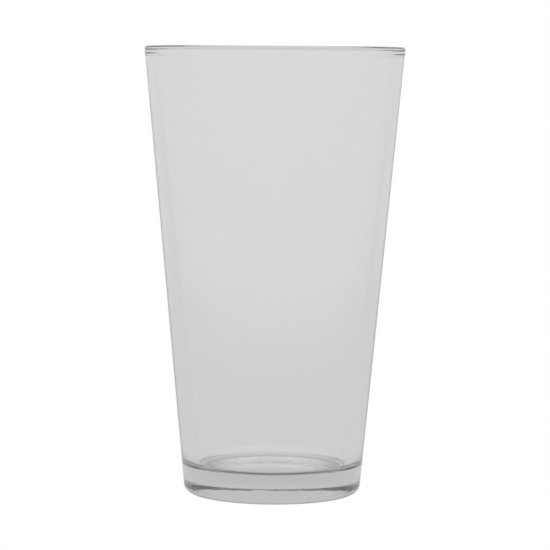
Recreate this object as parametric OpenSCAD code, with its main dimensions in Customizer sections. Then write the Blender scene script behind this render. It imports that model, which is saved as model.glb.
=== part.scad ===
// Conical bar mixing glass: one pressed and fire-polished piece of clear glass.
// The origin is the centre of the resting plane and +Z runs up the axis of the glass.

/* [Overall size] */
// Height from the table to the top of the brim
height = 152.4; // [140:0.1:165]
// Outside diameter across the brim
brim_d = 88.5; // [84:0.1:95]
// Outside diameter that the straight side would have at the table
base_d = 60; // [57:0.1:66]

/* [Wall and cavity] */
// Wall thickness at the foot of the brim's bead, square to the axis
wall_top = 3; // [2:0.1:3.2]
// Wall thickness at the level of the cavity's floor, square to the axis
wall_bottom = 5.5; // [4:0.1:7]
// Height of the cavity's floor above the table, at the floor's edge
floor_z = 9.5; // [8:0.1:14]
// Radius between the cavity's floor and its wall
floor_corner_r = 3; // [1:0.1:6]
// How far the middle of the cavity's floor dips below its edge
floor_dip = 0.3; // [0.1:0.1:1]

/* [Brim] */
// Thickness of the bead round the brim
bead_w = 3.1; // [2.6:0.1:3.6]
// Height of the bead, from its foot to the top of the brim
bead_h = 3; // [2.2:0.1:5]
// Radius of the bead's outer top edge
brim_outer_round = 1; // [0.5:0.1:1.1]
// Radius of the bead's inner top edge
brim_inner_round = 1.4; // [0.5:0.1:1.4]

/* [Foot] */
// Radius of the heel, between the side and the bearing ring
heel_r = 2.9; // [1:0.1:4]
// Inside diameter of the flat bearing ring
bearing_inner_d = 46.8; // [42:0.2:48]
// Diameter of the flat middle of the hollow under the base
punt_flat_d = 30.6; // [20:0.2:38]
// Depth of the hollow under the base
punt_depth = 1.5; // [0.5:0.1:3]

/* [Hidden] */
$fn = 180;

brim_r = brim_d / 2;
base_r = base_d / 2;
bearing_inner_r = bearing_inner_d / 2;
punt_flat_r = punt_flat_d / 2;
// How far a cutting shape runs on past the face that it opens
cut_gap = 1;

// Outer side: a straight taper
side_slope = (brim_r - base_r) / height;
side_angle = atan(side_slope);
function side_r(z) = base_r + side_slope * z;

// Heel: an arc that touches the side and the table
heel_c = [side_r(heel_r) - heel_r / cos(side_angle), heel_r];
heel_top = heel_c + heel_r * [cos(side_angle), -sin(side_angle)];

// Brim: a bead that leaves the tapered wall at its foot and has two rounded top edges
bead_foot_z = height - bead_h;
bead_top_z = height - max(brim_outer_round, brim_inner_round);
bead_inner_r = brim_r - bead_w;

// Cavity wall: a straight taper from the floor to the foot of the bead
inner_low_r = side_r(floor_z) - wall_bottom;
inner_top_r = side_r(bead_foot_z) - wall_top;
inner_slope = (inner_top_r - inner_low_r) / (bead_foot_z - floor_z);
inner_angle = atan(inner_slope);
function inner_r(z) = inner_low_r + inner_slope * (z - floor_z);

// Corner of the cavity: an arc that touches the wall and the level of the floor's edge
corner_z = floor_z + floor_corner_r;
corner_c = [inner_r(corner_z) - floor_corner_r / cos(inner_angle), corner_z];
corner_top = corner_c + floor_corner_r * [cos(inner_angle), -sin(inner_angle)];

// The cavity's floor is a shallow cap of a large sphere
floor_cap_r = (corner_c.x * corner_c.x + floor_dip * floor_dip) / (2 * floor_dip);

// The side of the hollow under the base slopes in from the bearing ring
punt_run = (bearing_inner_r - punt_flat_r) / punt_depth;

// Section of the glass as if it were solid, from the axis to the outer side
module outer_section() {
    polygon([
        [0, 0],
        [heel_c.x, 0],
        heel_c,
        heel_top,
        [side_r(bead_foot_z), bead_foot_z],
        [brim_r, bead_top_z],
        [0, bead_top_z]
    ]);
    translate(heel_c) circle(heel_r);
}

// Section of the space inside the glass, open at the top
module cavity_section() {
    polygon([
        [0, floor_z],
        [corner_c.x, floor_z],
        corner_c,
        corner_top,
        [inner_top_r, bead_foot_z],
        [bead_inner_r, bead_top_z],
        [bead_inner_r, bead_top_z + cut_gap],
        [0, bead_top_z + cut_gap]
    ]);
    translate(corner_c) circle(floor_corner_r);
    intersection() {
        translate([0, floor_z - floor_dip + floor_cap_r]) circle(floor_cap_r);
        translate([0, floor_z - floor_dip - cut_gap])
            square([corner_c.x, floor_dip + 2 * cut_gap]);
    }
}

// Section of the hollow under the base
module punt_section() {
    polygon([
        [0, -cut_gap],
        [bearing_inner_r + cut_gap * punt_run, -cut_gap],
        [punt_flat_r, punt_depth],
        [0, punt_depth]
    ]);
}

// What is cut off the bead's outer top edge to round it
module outer_edge_cut() {
    difference() {
        translate([brim_r - brim_outer_round, height - brim_outer_round])
            square(brim_outer_round + cut_gap);
        translate([brim_r - brim_outer_round, height - brim_outer_round])
            circle(brim_outer_round);
    }
}

// What is cut off the bead's inner top edge to round it
module inner_edge_cut() {
    difference() {
        translate([bead_inner_r - cut_gap, height - brim_inner_round])
            square(brim_inner_round + cut_gap);
        translate([bead_inner_r + brim_inner_round, height - brim_inner_round])
            circle(brim_inner_round);
    }
}

// Section of the top of the bead, above where its edges begin to round
module brim_section() {
    difference() {
        translate([bead_inner_r, bead_top_z]) square([bead_w, height - bead_top_z]);
        outer_edge_cut();
        inner_edge_cut();
    }
}

module glass_body() {
    color([0.83, 0.86, 0.84, 0.35])
    rotate_extrude() {
        difference() {
            outer_section();
            cavity_section();
            punt_section();
        }
        brim_section();
    }
}

glass_body();
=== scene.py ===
import math

import bpy
from mathutils import Matrix, Vector


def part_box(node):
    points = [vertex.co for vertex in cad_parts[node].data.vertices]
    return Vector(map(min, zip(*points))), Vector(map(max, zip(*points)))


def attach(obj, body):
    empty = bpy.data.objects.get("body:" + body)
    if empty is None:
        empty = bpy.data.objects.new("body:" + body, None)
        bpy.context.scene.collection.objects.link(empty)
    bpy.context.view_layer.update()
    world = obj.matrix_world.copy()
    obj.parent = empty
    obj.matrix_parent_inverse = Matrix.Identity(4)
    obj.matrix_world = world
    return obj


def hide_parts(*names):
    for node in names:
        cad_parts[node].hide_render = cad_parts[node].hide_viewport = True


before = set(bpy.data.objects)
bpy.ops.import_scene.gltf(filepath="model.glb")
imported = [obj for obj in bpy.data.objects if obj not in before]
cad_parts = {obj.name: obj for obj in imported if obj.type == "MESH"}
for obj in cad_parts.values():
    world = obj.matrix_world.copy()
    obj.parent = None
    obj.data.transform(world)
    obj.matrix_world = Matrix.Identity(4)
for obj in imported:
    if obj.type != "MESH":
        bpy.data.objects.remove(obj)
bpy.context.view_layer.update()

# ---------------------------------------------------------------- sizes
# The height and the brim come from the CAD solid. Everything else is the section of the
# pressed glass, in millimetres.
MM = 0.001
LOW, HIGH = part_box("glass_body")
HEIGHT = (HIGH[2] - LOW[2]) / MM
BRIM_RADIUS = (HIGH[0] - LOW[0]) / 2 / MM
BASE_RADIUS = 30.0        # where the tapered side would meet the table

PUNT_DEPTH = 1.5          # hollow under the base, at the edge of its flat middle
PUNT_FLAT_RADIUS = 15.3
PUNT_EDGE_ROUND = 1.3
PUNT_MIDDLE = 1.35        # the same hollow at the axis, where it sags a little
PUNT_MIDDLE_RADIUS = 3.0
PUNT_MIDDLE_ROUND = 60.0
RING_INNER_RADIUS = 23.4  # inner edge of the ring the glass stands on
RING_INNER_ROUND = 1.2
HEEL_ROUND = 2.9

BEAD_WIDTH = 3.1          # fire-polished bead round the brim
BEAD_SWELL = 0.15         # how far it stands out past the tapered side
BEAD_OUTER_HEIGHT = 2.8   # down to its widest, outside
BEAD_OUTER_FOOT = 3.3     # down to where it has run out into the wall, outside
BEAD_OUTER_FOOT_ROUND = 3.0
BEAD_OUTER_SHOULDER = 1.2
BEAD_INNER_HEIGHT = 2.0   # the same, inside
BEAD_INNER_FOOT = 2.5
BEAD_INNER_FOOT_ROUND = 2.5
BEAD_INNER_SHOULDER = 0.5
BRIM_OUTER_ROUND = 1.0
BRIM_INNER_ROUND = 1.6
WALL_UNDER_BEAD = 3.0     # wall thickness, square to the axis
WALL_AT_FLOOR = 5.5
FLOOR_HEIGHT = 9.5        # inside floor above the table
FLOOR_CORNER_ROUND = 3.0
FLOOR_FLAT_RADIUS = 8.0   # inside this the floor dips towards the axis
FLOOR_FLAT_ROUND = 5.0
FLOOR_DIP = 0.3
FLOOR_MIDDLE_RADIUS = 3.0
FLOOR_MIDDLE_ROUND = 40.0

SEGMENTS = 256
PROFILE_STEP = 1.6        # longest edge along the section
ARC_STEP = 4.0            # degrees between points on a rounded corner
ARC_LEAST = 3             # steps on the shortest arc
SAME_POINT = 1e-5         # points closer than this are one
SIDE_SHARE = 0.98         # how much of a side the two corners at its ends may use

# Pressed glass isn't perfect: the edge of the hollow's flat middle is a little higher and
# lower as it goes round, most of all at the back.
WANDER = 0.08             # height of a wave of size 1
WANDER_SPREAD = 2.5       # how far in and out of that edge the waves reach
# number of waves round the glass, phase (radians), size
WANDER_WAVES = [(5, 0.3, 0.8), (11, 2.1, 0.9), (17, 4.0, 1.0), (26, 1.2, 0.9), (37, 5.5, 0.7)]


def outer_radius(z):
    """Radius of the straight tapered outside at height z."""
    return BASE_RADIUS + (BRIM_RADIUS - BASE_RADIUS) * z / HEIGHT


# ---------------------------------------------------------------- section
def corner_cuts(corners):
    """How much of its two sides each rounded corner takes up. Corners that would run
    into each other share the side between them."""
    cuts = [0.0] * len(corners)
    halves = [0.0] * len(corners)
    for i in range(1, len(corners) - 1):
        here = Vector(corners[i][:2])
        before = here - Vector(corners[i - 1][:2])
        after = Vector(corners[i + 1][:2]) - here
        halves[i] = math.tan(before.angle(after) / 2)
        cuts[i] = corners[i][2] * halves[i]
    for i in range(len(corners) - 1):
        side = (Vector(corners[i + 1][:2]) - Vector(corners[i][:2])).length * SIDE_SHARE
        small, large = sorted((cuts[i], cuts[i + 1]))
        if small + large > side:
            small = min(small, side / 2)
            large = side - small
            cuts[i:i + 2] = (small, large) if cuts[i] <= cuts[i + 1] else (large, small)
    return cuts, halves


def round_corner(before, here, after, cut, half):
    """Points of the arc that rounds off the corner here."""
    radius = cut / half
    a = (before - here).normalized()
    b = (after - here).normalized()
    centre = here + (a + b).normalized() * math.hypot(radius, cut)
    start, end = here + a * cut - centre, here + b * cut - centre
    first = math.atan2(start.y, start.x)
    turn = math.atan2(end.y, end.x) - first
    turn = (turn + math.pi) % (2 * math.pi) - math.pi
    count = max(ARC_LEAST, int(abs(math.degrees(turn)) / ARC_STEP))
    angles = [first + turn * i / count for i in range(count + 1)]
    return [centre + Vector((math.cos(t), math.sin(t))) * radius for t in angles]


def section():
    """The glass's half section as (radius, height) points, from the middle of the
    underside, up the outside, over the brim and down to the middle of the floor."""
    top = HEIGHT
    outer_foot, outer_shoulder = top - BEAD_OUTER_FOOT, top - BEAD_OUTER_HEIGHT
    inner_foot, inner_shoulder = top - BEAD_INNER_FOOT, top - BEAD_INNER_HEIGHT
    inner_brim = outer_radius(top) - BEAD_WIDTH
    corners = [
        (0, PUNT_MIDDLE, 0),
        (PUNT_MIDDLE_RADIUS, PUNT_MIDDLE, PUNT_MIDDLE_ROUND),
        (PUNT_FLAT_RADIUS, PUNT_DEPTH, PUNT_EDGE_ROUND),
        (RING_INNER_RADIUS, 0, RING_INNER_ROUND),
        (BASE_RADIUS, 0, HEEL_ROUND),
        (outer_radius(outer_foot), outer_foot, BEAD_OUTER_FOOT_ROUND),
        (outer_radius(outer_shoulder) + BEAD_SWELL, outer_shoulder, BEAD_OUTER_SHOULDER),
        (outer_radius(top), top, BRIM_OUTER_ROUND),
        (inner_brim, top, BRIM_INNER_ROUND),
        (inner_brim, inner_shoulder, BEAD_INNER_SHOULDER),
        (outer_radius(inner_foot) - WALL_UNDER_BEAD, inner_foot, BEAD_INNER_FOOT_ROUND),
        (outer_radius(FLOOR_HEIGHT) - WALL_AT_FLOOR, FLOOR_HEIGHT, FLOOR_CORNER_ROUND),
        (FLOOR_FLAT_RADIUS, FLOOR_HEIGHT, FLOOR_FLAT_ROUND),
        (FLOOR_MIDDLE_RADIUS, FLOOR_HEIGHT - FLOOR_DIP, FLOOR_MIDDLE_ROUND),
        (0, FLOOR_HEIGHT - FLOOR_DIP, 0),
    ]
    cuts, halves = corner_cuts(corners)
    spots = [Vector(corner[:2]) for corner in corners]
    line = [spots[0]]
    for i in range(1, len(spots) - 1):
        line += round_corner(spots[i - 1], spots[i], spots[i + 1], cuts[i], halves[i])
    line.append(spots[-1])
    points = [line[0]]
    for a, b in zip(line, line[1:]):
        gap = (b - a).length
        if gap < SAME_POINT:
            continue
        count = math.ceil(gap / PROFILE_STEP)
        points += [a.lerp(b, i / count) for i in range(1, count + 1)]
    return points


def wander(point, turn):
    """Height of a section point at one turn of the lathe, in millimetres."""
    if point.y > PUNT_DEPTH:
        return point.y
    near = math.exp(-((point.x - PUNT_FLAT_RADIUS) / WANDER_SPREAD) ** 2)
    back = ((1 + math.sin(turn)) / 2) ** 2
    wave = sum(size * math.sin(count * turn + phase) for count, phase, size in WANDER_WAVES)
    return point.y + WANDER * near * back * wave


def lathe(name, points):
    """A closed mesh turned round Z from a section that starts and ends on the axis."""
    turns = [2 * math.pi * j / SEGMENTS for j in range(SEGMENTS)]
    verts = [(0, 0, points[0].y * MM)]
    for p in points[1:-1]:
        r = p.x * MM
        verts += [(r * math.cos(t), r * math.sin(t), wander(p, t) * MM) for t in turns]
    verts.append((0, 0, points[-1].y * MM))
    rows = len(points) - 2
    last = len(verts) - 1

    def at(row, j):
        return 1 + row * SEGMENTS + j % SEGMENTS

    faces = [(0, at(0, j + 1), at(0, j)) for j in range(SEGMENTS)]
    for row in range(rows - 1):
        faces += [(at(row, j), at(row, j + 1), at(row + 1, j + 1), at(row + 1, j))
                  for j in range(SEGMENTS)]
    faces += [(last, at(rows - 1, j), at(rows - 1, j + 1)) for j in range(SEGMENTS)]
    mesh = bpy.data.meshes.new(name)
    mesh.from_pydata(verts, [], faces)
    mesh.shade_smooth()
    piece = bpy.data.objects.new(name, mesh)
    bpy.context.scene.collection.objects.link(piece)
    return piece


# ---------------------------------------------------------------- node helpers
def maths(tree, operation, *values):
    """A Math node on numbers or sockets, giving its output socket."""
    node = tree.nodes.new("ShaderNodeMath")
    node.operation = operation
    for slot, value in zip(node.inputs, values):
        if isinstance(value, (int, float)):
            slot.default_value = value
        else:
            tree.links.new(value, slot)
    return node.outputs[0]


def along(tree, vector, direction):
    """How far a vector reaches along a fixed direction."""
    node = tree.nodes.new("ShaderNodeVectorMath")
    node.operation = "DOT_PRODUCT"
    tree.links.new(vector, node.inputs[0])
    node.inputs[1].default_value = direction
    return node.outputs["Value"]


def bell(tree, value, middle, spread):
    """The exponent of a bell curve: minus the square of value's distance from middle."""
    off = maths(tree, "DIVIDE", maths(tree, "SUBTRACT", value, middle), spread)
    return maths(tree, "MULTIPLY", maths(tree, "MULTIPLY", off, off), -1.0)


def sine(degrees):
    return math.sin(math.radians(degrees))


def cosine(degrees):
    return math.cos(math.radians(degrees))


# ---------------------------------------------------------------- materials
GLASS_IOR = 1.52
GLASS_TINT = (0.075, 0.085, 0.02, 1.0)
GLASS_ABSORPTION = 4.65    # per metre of glass, at a tint of black
# The mould leaves the underside very slightly uneven. The side is fire-polished and smooth.
PRESS_MARKS = 0.022        # millimetres high
PRESS_SCALE = 600.0        # about this many to the metre
PRESS_DETAIL = 1.5
PRESS_FADE = (3.0, 6.0)    # they fade out between these heights


def press_marks(tree):
    """A bump's normal for the faint marks under the base."""
    place = tree.nodes.new("ShaderNodeTexCoord").outputs["Object"]
    noise = tree.nodes.new("ShaderNodeTexNoise")
    noise.inputs["Scale"].default_value = PRESS_SCALE
    noise.inputs["Detail"].default_value = PRESS_DETAIL
    tree.links.new(place, noise.inputs["Vector"])
    under = tree.nodes.new("ShaderNodeMapRange")
    under.interpolation_type = "SMOOTHSTEP"
    tree.links.new(along(tree, place, (0, 0, 1)), under.inputs["Value"])
    under.inputs["From Min"].default_value = PRESS_FADE[0] * MM
    under.inputs["From Max"].default_value = PRESS_FADE[1] * MM
    under.inputs["To Min"].default_value = 1.0
    under.inputs["To Max"].default_value = 0.0
    bump = tree.nodes.new("ShaderNodeBump")
    bump.inputs["Distance"].default_value = PRESS_MARKS * MM
    height = maths(tree, "MULTIPLY", noise.outputs[0], under.outputs["Result"])
    tree.links.new(height, bump.inputs["Height"])
    return bump.outputs["Normal"]


def glass_material():
    material = bpy.data.materials.new("clear_glass_pressed")
    material.use_nodes = True
    tree = material.node_tree
    nodes = tree.nodes
    shader = nodes["Principled BSDF"]
    shader.inputs["Base Color"].default_value = (1, 1, 1, 1)
    shader.inputs["Roughness"].default_value = 0.0
    shader.inputs["IOR"].default_value = GLASS_IOR
    shader.inputs["Transmission Weight"].default_value = 1.0
    absorb = nodes.new("ShaderNodeVolumeAbsorption")
    absorb.inputs["Color"].default_value = GLASS_TINT
    absorb.inputs["Density"].default_value = GLASS_ABSORPTION
    tree.links.new(absorb.outputs[0], nodes["Material Output"].inputs["Volume"])
    tree.links.new(press_marks(tree), shader.inputs["Normal"])
    return material


# ---------------------------------------------------------------- studio light
WHITE = (1, 1, 1, 1)
DARKEST = 0.02            # nothing round the glass is darker than this
TENT = 0.69               # brightness of the light tent all round
# Azimuth 0 is behind the glass, 90 on its right and 180 on the camera's side.
# azimuth, elevation, half width, half height (degrees), brightness
BACK_STRIP = (0, 0, 30, 5, 0.05)           # low light behind the glass, which the wall shows
CAMERA_FLAG = (180, 45, 20, 10, -0.65)     # dark flag over the camera, for the base's dark ends
SIDE_FLAGS = [(-60, 20, 20, 10, -0.20), (60, 20, 20, 10, -0.20)]   # they draw the edges
PANELS = [BACK_STRIP, CAMERA_FLAG] + SIDE_FLAGS


def tent_light(tree, towards):
    """Brightness of the tent in the direction of the vector towards."""
    total = None
    for azimuth, elevation, half_width, half_height, brightness in PANELS:
        front = along(tree, towards, (sine(azimuth), cosine(azimuth), 0))
        across = along(tree, towards, (cosine(azimuth), -sine(azimuth), 0))
        upward = along(tree, towards, (0, 0, 1))
        fall = maths(tree, "ADD",
                     bell(tree, across, 0.0, sine(half_width)),
                     bell(tree, upward, sine(elevation), sine(half_height)))
        panel = maths(tree, "MULTIPLY", maths(tree, "EXPONENT", fall),
                      maths(tree, "GREATER_THAN", front, 0.0))
        total = maths(tree, "MULTIPLY_ADD", panel, brightness,
                      TENT if total is None else total)
    return maths(tree, "MAXIMUM", total, DARKEST)


def finish_on_white(tree, lit, clean, output):
    """What the lens sees straight on is clean, and what lights the glass is lit."""
    ray = tree.nodes.new("ShaderNodeLightPath").outputs["Is Camera Ray"]
    mix = tree.nodes.new("ShaderNodeMixShader")
    tree.links.new(ray, mix.inputs[0])
    tree.links.new(lit.outputs[0], mix.inputs[1])
    tree.links.new(clean.outputs[0], mix.inputs[2])
    tree.links.new(mix.outputs[0], tree.nodes.new(output).inputs["Surface"])


def build_world():
    world = bpy.data.worlds.new("light_tent")
    world.use_nodes = True
    tree = world.node_tree
    tree.nodes.clear()
    towards = tree.nodes.new("ShaderNodeTexCoord").outputs["Generated"]
    lit = tree.nodes.new("ShaderNodeBackground")
    lit.inputs["Color"].default_value = WHITE
    tree.links.new(tent_light(tree, towards), lit.inputs["Strength"])
    clean = tree.nodes.new("ShaderNodeBackground")
    clean.inputs["Color"].default_value = WHITE
    finish_on_white(tree, lit, clean, "ShaderNodeOutputWorld")
    bpy.context.scene.world = world


# ---------------------------------------------------------------- floor
FLOOR_SIZE = 60.0         # metres
FLOOR_GAP = 0.05          # mm that the table lies below the glass, so that they never touch
FLOOR_LIGHT = 0.65        # brightness of the table round the glass
TABLE_NEAR = 0.2          # metres; the table runs out into the tent between these radii
TABLE_FAR = 0.7
FAR_DIM = 0.02            # how much darker the far table is than the tent behind it
# Painted shade on the table under and round the glass, and painted light on the table behind
# it.
RING_MIDDLE = 8.0         # mm from the axis within which the back is hardly brighter
# radius, half width (mm), painted shade all round, how much more painted light of it at the
# back
PAINTED_SHADE_UNDER_GLASS = (0, 20, -0.10, 0.10)
PAINTED_SHADE_UNDER_FOOT = (25, 6, -0.30, 0.10)
PAINTED_SHADE_ROUND_GLASS = (50, 25, -0.05, 0.10)
PAINTED_SHADE_AND_LIGHT_RINGS = [PAINTED_SHADE_UNDER_GLASS, PAINTED_SHADE_UNDER_FOOT, PAINTED_SHADE_ROUND_GLASS]


def table_light(tree, place):
    """Glow of the table at a place on it, with painted shade round the glass and painted light
    behind it.
    """
    measure = tree.nodes.new("ShaderNodeVectorMath")
    measure.operation = "LENGTH"
    tree.links.new(place, measure.inputs[0])
    radius = measure.outputs["Value"]
    # The direction away from the axis, dying away softly at the axis itself
    soft = (RING_MIDDLE * MM) ** 2
    reach = maths(tree, "SQRT", maths(tree, "MULTIPLY_ADD", radius, radius, soft))
    unit = tree.nodes.new("ShaderNodeVectorMath")
    unit.operation = "SCALE"
    tree.links.new(place, unit.inputs[0])
    tree.links.new(maths(tree, "DIVIDE", 1.0, reach), unit.inputs["Scale"])
    outward = unit.outputs["Vector"]
    near = None
    for middle, spread, brightness, back in PAINTED_SHADE_AND_LIGHT_RINGS:
        ring = maths(tree, "EXPONENT", bell(tree, radius, middle * MM, spread * MM))
        side = maths(tree, "ADD", along(tree, outward, (0, back, 0)), brightness)
        near = maths(tree, "MULTIPLY_ADD", ring, side, FLOOR_LIGHT if near is None else near)
    far = tree.nodes.new("ShaderNodeMapRange")
    far.interpolation_type = "SMOOTHSTEP"
    tree.links.new(radius, far.inputs["Value"])
    far.inputs["From Min"].default_value = TABLE_NEAR
    far.inputs["From Max"].default_value = TABLE_FAR
    mix = tree.nodes.new("ShaderNodeMix")
    tree.links.new(far.outputs["Result"], mix.inputs["Factor"])
    tree.links.new(near, mix.inputs["A"])
    backdrop = maths(tree, "SUBTRACT", tent_light(tree, outward), FAR_DIM)
    tree.links.new(backdrop, mix.inputs["B"])
    return maths(tree, "MAXIMUM", mix.outputs["Result"], DARKEST)


def build_floor():
    """The white table. To the glass it glows, with painted shade round its foot and painted
    light behind it.
    """
    half = FLOOR_SIZE / 2
    mesh = bpy.data.meshes.new("floor")
    mesh.from_pydata([(-half, -half, 0), (half, -half, 0), (half, half, 0), (-half, half, 0)],
                     [], [(0, 1, 2, 3)])
    floor = bpy.data.objects.new("floor", mesh)
    floor.location.z = -FLOOR_GAP * MM
    bpy.context.scene.collection.objects.link(floor)
    material = bpy.data.materials.new("white_table_painted_shade")
    material.use_nodes = True
    tree = material.node_tree
    tree.nodes.clear()
    place = tree.nodes.new("ShaderNodeTexCoord").outputs["Object"]
    lit = tree.nodes.new("ShaderNodeEmission")
    tree.links.new(table_light(tree, place), lit.inputs["Strength"])
    clean = tree.nodes.new("ShaderNodeEmission")
    finish_on_white(tree, lit, clean, "ShaderNodeOutputMaterial")
    material.cycles.emission_sampling = "NONE"
    mesh.materials.append(material)


# ---------------------------------------------------------------- camera
CAMERA_PLACE = (0.0, -0.912, 0.1576)
CAMERA_DOWN = 0.09084     # radians below the horizon
CAMERA_TURN = -0.0006     # radians to the left
CAMERA_ROLL = 0.0073      # radians
CAMERA_LENS = 175.4       # millimetres, on a sensor of the width below
CAMERA_SENSOR = 36.0
CAMERA_NEAR = 0.01        # metres
CAMERA_FAR = 100.0


def build_camera():
    data = bpy.data.cameras.new("camera")
    data.sensor_width = CAMERA_SENSOR
    data.lens = CAMERA_LENS
    data.clip_start = CAMERA_NEAR
    data.clip_end = CAMERA_FAR
    camera = bpy.data.objects.new("camera", data)
    bpy.context.scene.collection.objects.link(camera)
    ahead = Vector((-math.sin(CAMERA_TURN) * math.cos(CAMERA_DOWN),
                    math.cos(CAMERA_TURN) * math.cos(CAMERA_DOWN), -math.sin(CAMERA_DOWN)))
    right = ahead.cross(Vector((0, 0, 1))).normalized()
    up = right.cross(ahead)
    roll_right = right * math.cos(CAMERA_ROLL) + up * math.sin(CAMERA_ROLL)
    roll_up = up * math.cos(CAMERA_ROLL) - right * math.sin(CAMERA_ROLL)
    matrix = Matrix((roll_right, roll_up, -ahead)).transposed().to_4x4()
    matrix.translation = CAMERA_PLACE
    camera.matrix_world = matrix
    bpy.context.scene.camera = camera


# ---------------------------------------------------------------- the scene
LIGHT_BOUNCES = 96        # light runs a long way inside a glass wall

glass = lathe("pressed_glass_body", section())
glass.data.materials.append(glass_material())
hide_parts("glass_body")
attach(glass, "root")

build_world()
build_floor()
build_camera()

scene = bpy.context.scene
scene.view_settings.view_transform = "Standard"
scene.cycles.max_bounces = LIGHT_BOUNCES
scene.cycles.transmission_bounces = LIGHT_BOUNCES
scene.cycles.glossy_bounces = LIGHT_BOUNCES
scene.cycles.volume_bounces = 0
